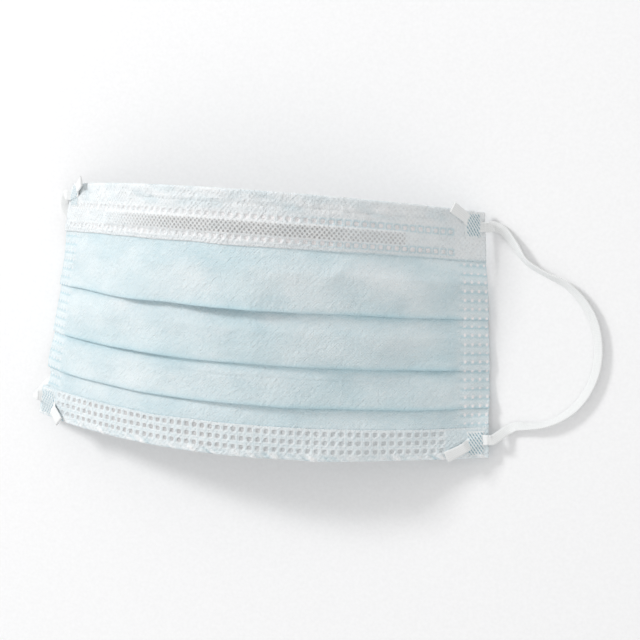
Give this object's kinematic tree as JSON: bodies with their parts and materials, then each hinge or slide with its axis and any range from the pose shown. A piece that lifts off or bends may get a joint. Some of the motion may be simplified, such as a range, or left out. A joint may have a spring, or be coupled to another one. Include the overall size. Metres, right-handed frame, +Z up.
{
  "type": "surgical face mask",
  "caption": "Pleated surgical face mask lying face up, arched across its width, with folded hems, a nose wire and flat elastic ear loops.",
  "frame": {"origin": "middle of the mask without its free loops, on the surface that it lies on", "axes": "+X along the mask's width, +Y from the chin edge to the nose edge, +Z up out of the outer face"},
  "size_m": [0.2062, 0.0907, 0.0437],
  "materials": {
    "panel_cloth": "matt spunbond non-woven, pale blue",
    "hem_cloth": "matt spunbond non-woven, bluish white",
    "nose_wire": "plastic-coated flat wire",
    "elastic": "knitted white elastic"
  },
  "bodies": {
    "root": {"pleated_panel": "panel_cloth", "top_hem": "hem_cloth", "bottom_hem": "hem_cloth", "nose_wire": "nose_wire", "loop_end_top_right": "elastic", "loop_end_bottom_right": "elastic", "loop_end_top_left": "elastic", "loop_end_bottom_left": "elastic", "ear_loop_right": "elastic", "ear_loop_left": "elastic"}
  },
  "joints": []
}
